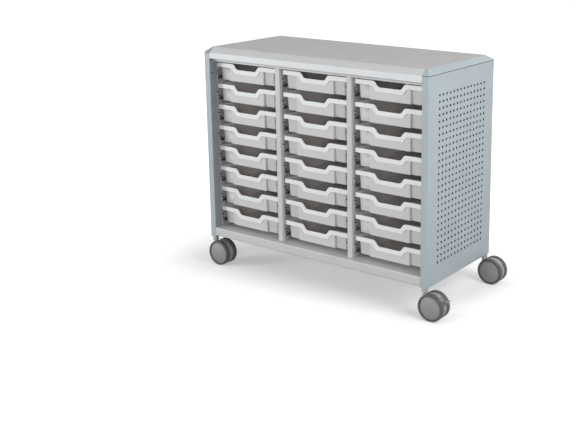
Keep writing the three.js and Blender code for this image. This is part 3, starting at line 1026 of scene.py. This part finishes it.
def build_racks():
    """Six racks: one pattern on the left walls, its mirror image with longer pins on the right walls."""
    low, high = node_box("runner_rack_left_bay_left")
    tray_feet = sorted(node_box(f"tray_left_{row}")[0].z for row in ROWS)
    tray_low, tray_high = node_box("tray_left_8")
    rack = make_rack(low, high, tray_feet, tray_high.z - tray_low.z - TRAY_RIM_SEAT)
    left_pins, right_pins = (make_pins(low, tray_feet, PIN_REACHES[side]) for side in SIDES)
    patterns = {"left": (rack, left_pins),
                "right": (mirror(copy_piece(rack, "rack_mirror")), mirror(right_pins))}
    for column in COLUMNS:
        for side in SIDES:
            node = f"runner_rack_{column}_bay_{side}"
            node_low, node_high = node_box(node)
            place = (node_low.x if side == "left" else node_high.x, 0, 0)
            rack_pattern, pin_pattern = patterns[side]
            piece = copy_piece(rack_pattern, f"rack_{column}_bay_{side}", place)
            settle(piece, RUNNER_PLASTIC, "carcass", "runner_plastic", node)
            studs = copy_piece(pin_pattern, f"pins_{column}_bay_{side}", place)
            settle(studs, PIN_PLASTIC_AND_SHADE, "carcass", "runner_plastic", node)
    for pair in patterns.values():
        discard(*pair)


# Trays

def make_tray(width, depth, height):
    """Tub with a centre panel standing forward, a flat rim and a lip with a finger dip."""
    half = width / 2 - TRAY_SIDE_RIM - TRAY_WALL
    front = TRAY_FRONT_RECESS + TRAY_WALL
    rear = depth - TRAY_REAR_RIM - TRAY_WALL
    panel_half = DIP_WIDTH / 2 + PANEL_MARGIN - TRAY_WALL
    panel_front = PANEL_RECESS + TRAY_WALL
    tray = start_box("tray_pattern", (-half, front, TRAY_WALL), (half, rear, height))
    in_front = facing("y", -1)

    def pick_rim(wanted):
        pick(tray, "VERT", lambda point: point.is_boundary and wanted(point.co))

    def on_edge(at):
        return at.y < panel_front + TINY and at.z > height - TINY

    with editing(tray):
        # Walls lean in towards the floor
        pick(tray, "FACE", facing("z", 1))
        bpy.ops.mesh.delete(type="ONLY_FACE")
        pick(tray, "FACE", facing("z", -1))
        resize(x=1 - TRAY_DRAFT / half, y=1 - 2 * TRAY_DRAFT / (rear - front),
               about=(0, (front + rear) / 2, TRAY_WALL))
        pick(tray, "EDGE", lambda edge: span(edge).z > height / 2)
        round_over(TRAY_CORNER, segments=4)

        # Centre panel stands forward
        for x in (-panel_half, panel_half):
            pick(tray, "FACE", in_front)
            bpy.ops.mesh.bisect(plane_co=(x, 0, 0), plane_no=(1, 0, 0))
        pick(tray, "FACE", lambda face: in_front(face) and abs(middle(face).x) < panel_half / 2)
        extrude(y=panel_front - front)
        resize(y=0, about=(0, panel_front, 0))
        pick(tray, "FACE", lambda face: abs(face.normal.z) > SQUARE_ON
             and middle(face).z > height - TINY)
        bpy.ops.mesh.delete(type="ONLY_FACE")
        pick(tray, "EDGE", lambda edge: span(edge).z > height / 2 and middle(edge).y < panel_front + TINY
             and abs(abs(middle(edge).x) - panel_half) < TRAY_WALL)
        round_over(PANEL_CORNER, segments=3)

        # Rounded foot
        pick(tray, "EDGE", lambda edge: edge.calc_face_angle(0) > CORNER_ANGLE
             and all(point.co.z < TRAY_WALL + TINY for point in edge.verts))
        round_over(TRAY_FOOT_ROUND, segments=3)

        # Finger dip in the top edge of the panel
        pick(tray, "EDGE", lambda edge: edge.is_boundary and span(edge).x > panel_half
             and middle(edge).y < panel_front + TINY)
        outer, inner = DIP_WIDTH / 2, DIP_WIDTH / 2 - DIP_SLOPE
        dip = ((-outer, 0), (-inner, DIP_DEPTH), (inner, DIP_DEPTH), (outer, 0))
        bpy.ops.mesh.subdivide(number_cuts=len(dip))
        mesh = bmesh.from_edit_mesh(tray.data)
        starts = sorted(point.co.x for point in mesh.verts
                        if on_edge(point.co) and abs(point.co.x) < panel_half - 2 * PANEL_CORNER)
        for start, (x, drop) in zip(starts, dip):
            pick_rim(lambda at: on_edge(at) and abs(at.x - start) < TINY)
            move(x=x - start, z=-drop)
        corners = [Vector((x, panel_front, height - drop)) for x, drop in dip]
        pick_rim(lambda at: any((at - corner).length < TINY for corner in corners))
        round_over(DIP_ROUND, segments=3, points=True)

        # Flat rim out to the tray's full size
        pick(tray, "EDGE", lambda edge: edge.is_boundary)
        extrude()
        turn = half - TRAY_CORNER
        pick_rim(lambda at: at.y < front + TINY and abs(at.x) < turn + TINY)
        resize(y=0)
        pick_rim(lambda at: at.y < front + TRAY_CORNER + TINY and abs(at.x) > turn + TINY)
        move(y=-front)
        pick_rim(lambda at: at.y > rear - TRAY_CORNER - TINY)
        move(y=depth - rear)
        for way in (-1, 1):
            pick_rim(lambda at: at.x * way > turn - TINY)
            move(x=way * (width / 2 - half))

        # Lip turned down along the front
        pick(tray, "EDGE", lambda edge: edge.is_boundary
             and all(point.co.y < TRAY_CORNER + TINY for point in edge.verts))
        extrude(z=-LIP_HEIGHT)
        flare = LIP_HEIGHT * math.tan(math.atan2(DIP_DEPTH, DIP_SLOPE) / 2)
        for way in (-1, 1):
            pick_rim(lambda at: at.y < TINY
                     and inner - DIP_ROUND - TINY < at.x * way < outer + DIP_ROUND + TINY)
            move(x=way * flare)
    tidy_normals(tray, lambda at: at.z < TRAY_WALL + TINY, (0, 0, -1))
    thicken(tray, TRAY_WALL, offset=1)
    soften(tray, TRAY_EDGE)
    return tray


def build_trays():
    """Twenty-four copies of one tray."""
    low, high = node_box("tray_left_1")
    pattern = make_tray(*(high - low))
    for column in COLUMNS:
        for row in ROWS:
            node = f"tray_{column}_{row}"
            node_low, node_high = node_box(node)
            place = ((node_low.x + node_high.x) / 2, node_low.y, node_low.z)
            piece = copy_piece(pattern, f"tray_shell_{column}_{row}", place)
            settle(piece, TRAY_PLASTIC_LIT_AND_SHADED, node, "tray_plastic", node)
    discard(pattern)


# Leg posts and casters

def build_posts():
    """Tubes in the corners of the side panels, with a rounded lower end."""
    for corner in CORNERS:
        node = f"corner_post_{corner}"
        low, high = node_box(node)
        radius = (high.x - low.x) / 2
        post = start_rod(f"post_tube_{corner}", (low + high) / 2, radius, high.z - low.z, "Z", POST_SIDES)
        with editing(post):
            pick(post, "FACE", facing("z", -1))
            draw_in(radius - STEM_RADIUS - STEM_PLAY)
            extrude(z=STEM_TOP - COLLAR_TOP + STEM_HEADROOM)
        soften(post, POST_ROUND)
        settle(post, ZINC_PLATE, "carcass", "zinc_steel", node)


def make_hood(with_brake):
    """Hood between the wheels; the caster's stem stands at the origin."""
    axle = (CASTER_TRAIL, 0, WHEEL_RADIUS)
    hood = start_rod("hood_pattern", axle, HOOD_RADIUS, HOOD_WIDTH, "Y", WHEEL_SIDES)
    bore = start_rod("bore", axle, AXLE_BORE, 2 * HOOD_WIDTH, "Y", BORE_SIDES)
    combine(hood, bore, "DIFFERENCE")
    if with_brake:
        arm_half = BRAKE_ARM / 2 + BRAKE_ARM_PLAY
        slot = start_box("slot", BRAKE_PIVOT + Vector((-BRAKE_SLOT_START, -arm_half, -BRAKE_SLOT_DEPTH)),
                         BRAKE_PIVOT + Vector((HOOD_RADIUS, arm_half, HOOD_RADIUS)))
        combine(hood, slot, "DIFFERENCE")
        hole_radius = BRAKE_PIN + BRAKE_PIN_PLAY
        pin_hole = start_rod("pin_hole", BRAKE_PIVOT, hole_radius, 2 * HOOD_WIDTH, "Y", BRAKE_PIN_SIDES)
        combine(hood, pin_hole, "DIFFERENCE")
    soften(hood, HOOD_ROUND, segments=3)
    return hood


def make_stem():
    """Collar that goes down into the hood, with the stem on it; it stands at the origin."""
    centre = (0, 0, (COLLAR_FOOT + COLLAR_TOP) / 2)
    collar = start_rod("stem_pattern", centre, COLLAR_RADIUS, COLLAR_TOP - COLLAR_FOOT, "Z", POST_SIDES)
    with editing(collar):
        pick(collar, "FACE", facing("z", 1))
        draw_in(COLLAR_RADIUS - STEM_RADIUS)
        extrude(z=STEM_TOP - COLLAR_TOP)
    soften(collar, COLLAR_ROUND)
    return collar


def make_wheel():
    """Tyre and hub of the wheel on the -Y side of its caster; the axle lies along Y above the origin."""
    inner = -HOOD_WIDTH / 2 - WHEEL_GAP
    outer = inner - WHEEL_WIDTH
    centre = (0, (inner + outer) / 2, WHEEL_RADIUS)
    tyre = start_rod("tyre_pattern", centre, WHEEL_RADIUS, WHEEL_WIDTH, "Y", WHEEL_SIDES)
    with editing(tyre):
        for way in (-1, 1):
            pick(tyre, "FACE", facing("y", way))
            draw_in(TYRE_DEPTH)
        pick(tyre, "FACE", lambda face: len(face.verts) == WHEEL_SIDES)
        bpy.ops.mesh.bridge_edge_loops()
        tread = WHEEL_RADIUS - TYRE_SHOULDER
        pick(tyre, "EDGE", lambda edge: edge.calc_face_angle(0) > CORNER_ANGLE
             and math.hypot(middle(edge).x, middle(edge).z - WHEEL_RADIUS) > tread)
        round_over(TYRE_SHOULDER, segments=5)
    tidy_normals(tyre, lambda at: at.z > WHEEL_RADIUS + tread, (0, 0, 1))
    soften(tyre, TYRE_ROUND)

    hub_radius = WHEEL_RADIUS - TYRE_DEPTH - TINY
    hub_outer = outer + HUB_RECESS
    hub_centre = (0, (inner + hub_outer) / 2, WHEEL_RADIUS)
    hub = start_rod("hub_pattern", hub_centre, hub_radius, inner - hub_outer, "Y", WHEEL_SIDES)
    with editing(hub):
        pick(hub, "FACE", facing("y", 1))
        draw_in(hub_radius - AXLE_BORE)
        extrude(y=-AXLE_BORE_DEPTH)
        pick(hub, "FACE", facing("y", -1))
        # Dome of rings that rise ever less, round a middle half a ring wide
        for ring in range(HUB_RINGS):
            draw_in(hub_radius / (HUB_RINGS + 0.5))
            move(y=-2 * HUB_DOME * (HUB_RINGS - ring) / (HUB_RINGS * (HUB_RINGS + 1)))
    soften(hub, HUB_ROUND, segments=3)
    return tyre, hub


def make_brake():
    """Foot lever: hub, pin, arm and ribbed pedal; the pivot lies along Y through the origin."""
    half = BRAKE_ARM / 2
    pedal_start = BRAKE_REACH - BRAKE_PEDAL
    upper = BRAKE_PLATE / 2
    lever = start_box("brake_pattern", (0, -half, -upper), (BRAKE_REACH, half, upper))
    with editing(lever):
        pick_all()
        bpy.ops.mesh.bisect(plane_co=(pedal_start, 0, 0), plane_no=(1, 0, 0))
        for way in (-1, 1):
            pick(lever, "FACE", lambda face: facing("y", way)(face) and middle(face).x > pedal_start)
            extrude(y=way * (HOOD_WIDTH / 2 - half))
        pick(lever, "EDGE", lambda edge: span(edge).z > TINY and middle(edge).x > BRAKE_REACH - TINY)
        round_over(BRAKE_CORNER, segments=4)
    hub = start_rod("brake_hub", (0, 0, 0), BRAKE_HUB, BRAKE_ARM, "Y", BRAKE_HUB_SIDES)
    combine(lever, hub, "UNION")
    soften(lever, BRAKE_ROUND)
    pin = start_rod("brake_pin", (0, 0, 0), BRAKE_PIN, HOOD_WIDTH, "Y", BRAKE_PIN_SIDES)
    combine(lever, pin, "UNION")
    for step in (-1, 0, 1):
        x = pedal_start + BRAKE_PEDAL / 2 + step * RIB_PITCH
        rib = start_box("rib", (x - RIB_HALF, -half - RIB_OVERHANG, upper - RIB_SUNK),
                        (x + RIB_HALF, half + RIB_OVERHANG, upper + RIB_RISE))
        soften(rib, RIB_ROUND)
        join(lever, rib)
    with editing(lever):
        pick_all()
        bpy.ops.transform.rotate(
            value=math.atan2(BRAKE_RISE, BRAKE_REACH), orient_axis="Y", center_override=(0, 0, 0))
    return lever


def build_casters():
    """Four twin-wheel casters, the front right one with a brake lever."""
    tyre, hub = make_wheel()
    plain, braked = make_hood(False), make_hood(True)
    stem_pattern = make_stem()
    for corner in CORNERS:
        low, high = node_box(f"corner_post_{corner}")
        foot = Vector(((low.x + high.x) / 2, (low.y + high.y) / 2, 0))
        body = f"caster_{corner}"
        has_brake = corner == "front_right"
        hood = copy_piece(braked if has_brake else plain, f"hood_{corner}", foot)
        settle(hood, HOOD_PLASTIC, body, "caster_plastic", f"caster_hood_{corner}")
        shank = copy_piece(stem_pattern, f"stem_{corner}", foot)
        settle(shank, ZINC_PLATE, body, "zinc_steel", f"caster_hood_{corner}")
        paint(frame["nodes"][f"caster_axle_{corner}"], ZINC_PLATE)
        place = foot + Vector((CASTER_TRAIL, 0, 0))
        for spot, turn in (("fore", 0), ("aft", math.pi)):
            node = f"caster_wheel_{corner}_{spot}"
            band = copy_piece(tyre, f"tyre_{corner}_{spot}", place, turn)
            settle(band, TYRE_RUBBER, node, "wheel_rubber", node)
            disc = copy_piece(hub, f"hub_{corner}_{spot}", place, turn)
            settle(disc, HUB_PLASTIC, node, "caster_plastic", node)
        if has_brake:
            node = f"brake_lever_{corner}"
            lever = make_brake()
            pedal = copy_piece(lever, "brake_pedal", foot + BRAKE_PIVOT)
            settle(pedal, HOOD_PLASTIC, node, "caster_plastic", node)
            discard(lever)
    discard(tyre, hub, plain, braked, stem_pattern)


# Floor, light and camera

def seen_directly(tree):
    """1 for what is seen, straight or in a reflection, and 0 for light on its way to the object."""
    seen = tree.nodes.new("ShaderNodeLightPath").outputs
    either = seen["Is Camera Ray"]
    for label in ("Is Glossy Ray", "Is Transmission Ray"):
        node = tree.nodes.new("ShaderNodeMath")
        node.operation = "MAXIMUM"
        tree.links.new(either, node.inputs[0])
        tree.links.new(seen[label], node.inputs[1])
        either = node.outputs[0]
    return either


def make_floor_finish():
    """Pale floor that keeps the unit's shadow, has painted shade from a weaker glow beside the unit, and
    fades to white away from it.
    """
    finish, tree, surface, place = start_finish("Studio floor")
    seen = seen_directly(tree)
    shown, thrown = (add_effect(tree, DRIFT, place, Scale=FLOOR_DRIFT, Deep=deep, Pale=pale)
                     for deep, pale in (FLOOR_SEEN, FLOOR_BOUNCE))
    tree.links.new(blend_colours(tree, seen, thrown, shown), surface["Base Color"])
    surface["Roughness"].default_value = 1
    surface["Specular IOR Level"].default_value = 0
    surface["Emission Color"].default_value = (1, 1, 1, 1)
    from_middle = vector_node(tree, "ABSOLUTE", place)
    past_unit = vector_node(tree, "SUBTRACT", from_middle, (cad_high[0], cad_high[1], 0))
    distance = vector_node(tree, "LENGTH", vector_node(tree, "MAXIMUM", past_unit, (0, 0, 0)))
    # Painted shade: the glow is weaker beside the unit and grows with the distance from it
    glow = stretch(tree, distance, *FLOOR_FADE, *FLOOR_GLOW)
    tree.links.new(stretch(tree, seen, 0, 1, 0, glow), surface["Emission Strength"])
    return finish


def build_stage():
    """Floor, soft light and the photo's camera."""
    bpy.ops.mesh.primitive_plane_add(size=FLOOR_SIZE)
    floor = named(bpy.context.object, "studio_floor")
    floor.data.materials.append(make_floor_finish())

    scene = bpy.context.scene
    scene.world = bpy.data.worlds.new("Studio")
    scene.world.use_nodes = True
    tree = scene.world.node_tree
    background = tree.nodes["Background"].inputs
    background["Color"].default_value = (1, 1, 1, 1)
    tree.links.new(stretch(tree, seen_directly(tree), 0, 1, WORLD_LIGHT, 1), background["Strength"])

    for name, place, target, size, power in LIGHTS:
        bpy.ops.object.light_add(type="AREA", location=place)
        lamp = named(bpy.context.object, name)
        lamp.data.shape = "DISK"
        lamp.data.size = size
        lamp.data.energy = power
        lamp.rotation_euler = (Vector(target) - Vector(place)).to_track_quat("-Z", "Y").to_euler()

    bpy.ops.object.camera_add(location=CAMERA_PLACE, rotation=(CAMERA_TILT, 0, CAMERA_HEADING))
    scene.camera = bpy.context.object
    lens = scene.camera.data
    lens.sensor_fit = "HORIZONTAL"
    lens.lens = CAMERA_LENS
    lens.shift_x, lens.shift_y = CAMERA_SHIFT
    scene.view_settings.view_transform = "Standard"


build_top()
build_caps()
build_sides()
build_dividers()
build_shelf()
build_back()
build_wall_screws()
build_racks()
build_trays()
build_posts()
build_casters()
build_stage()
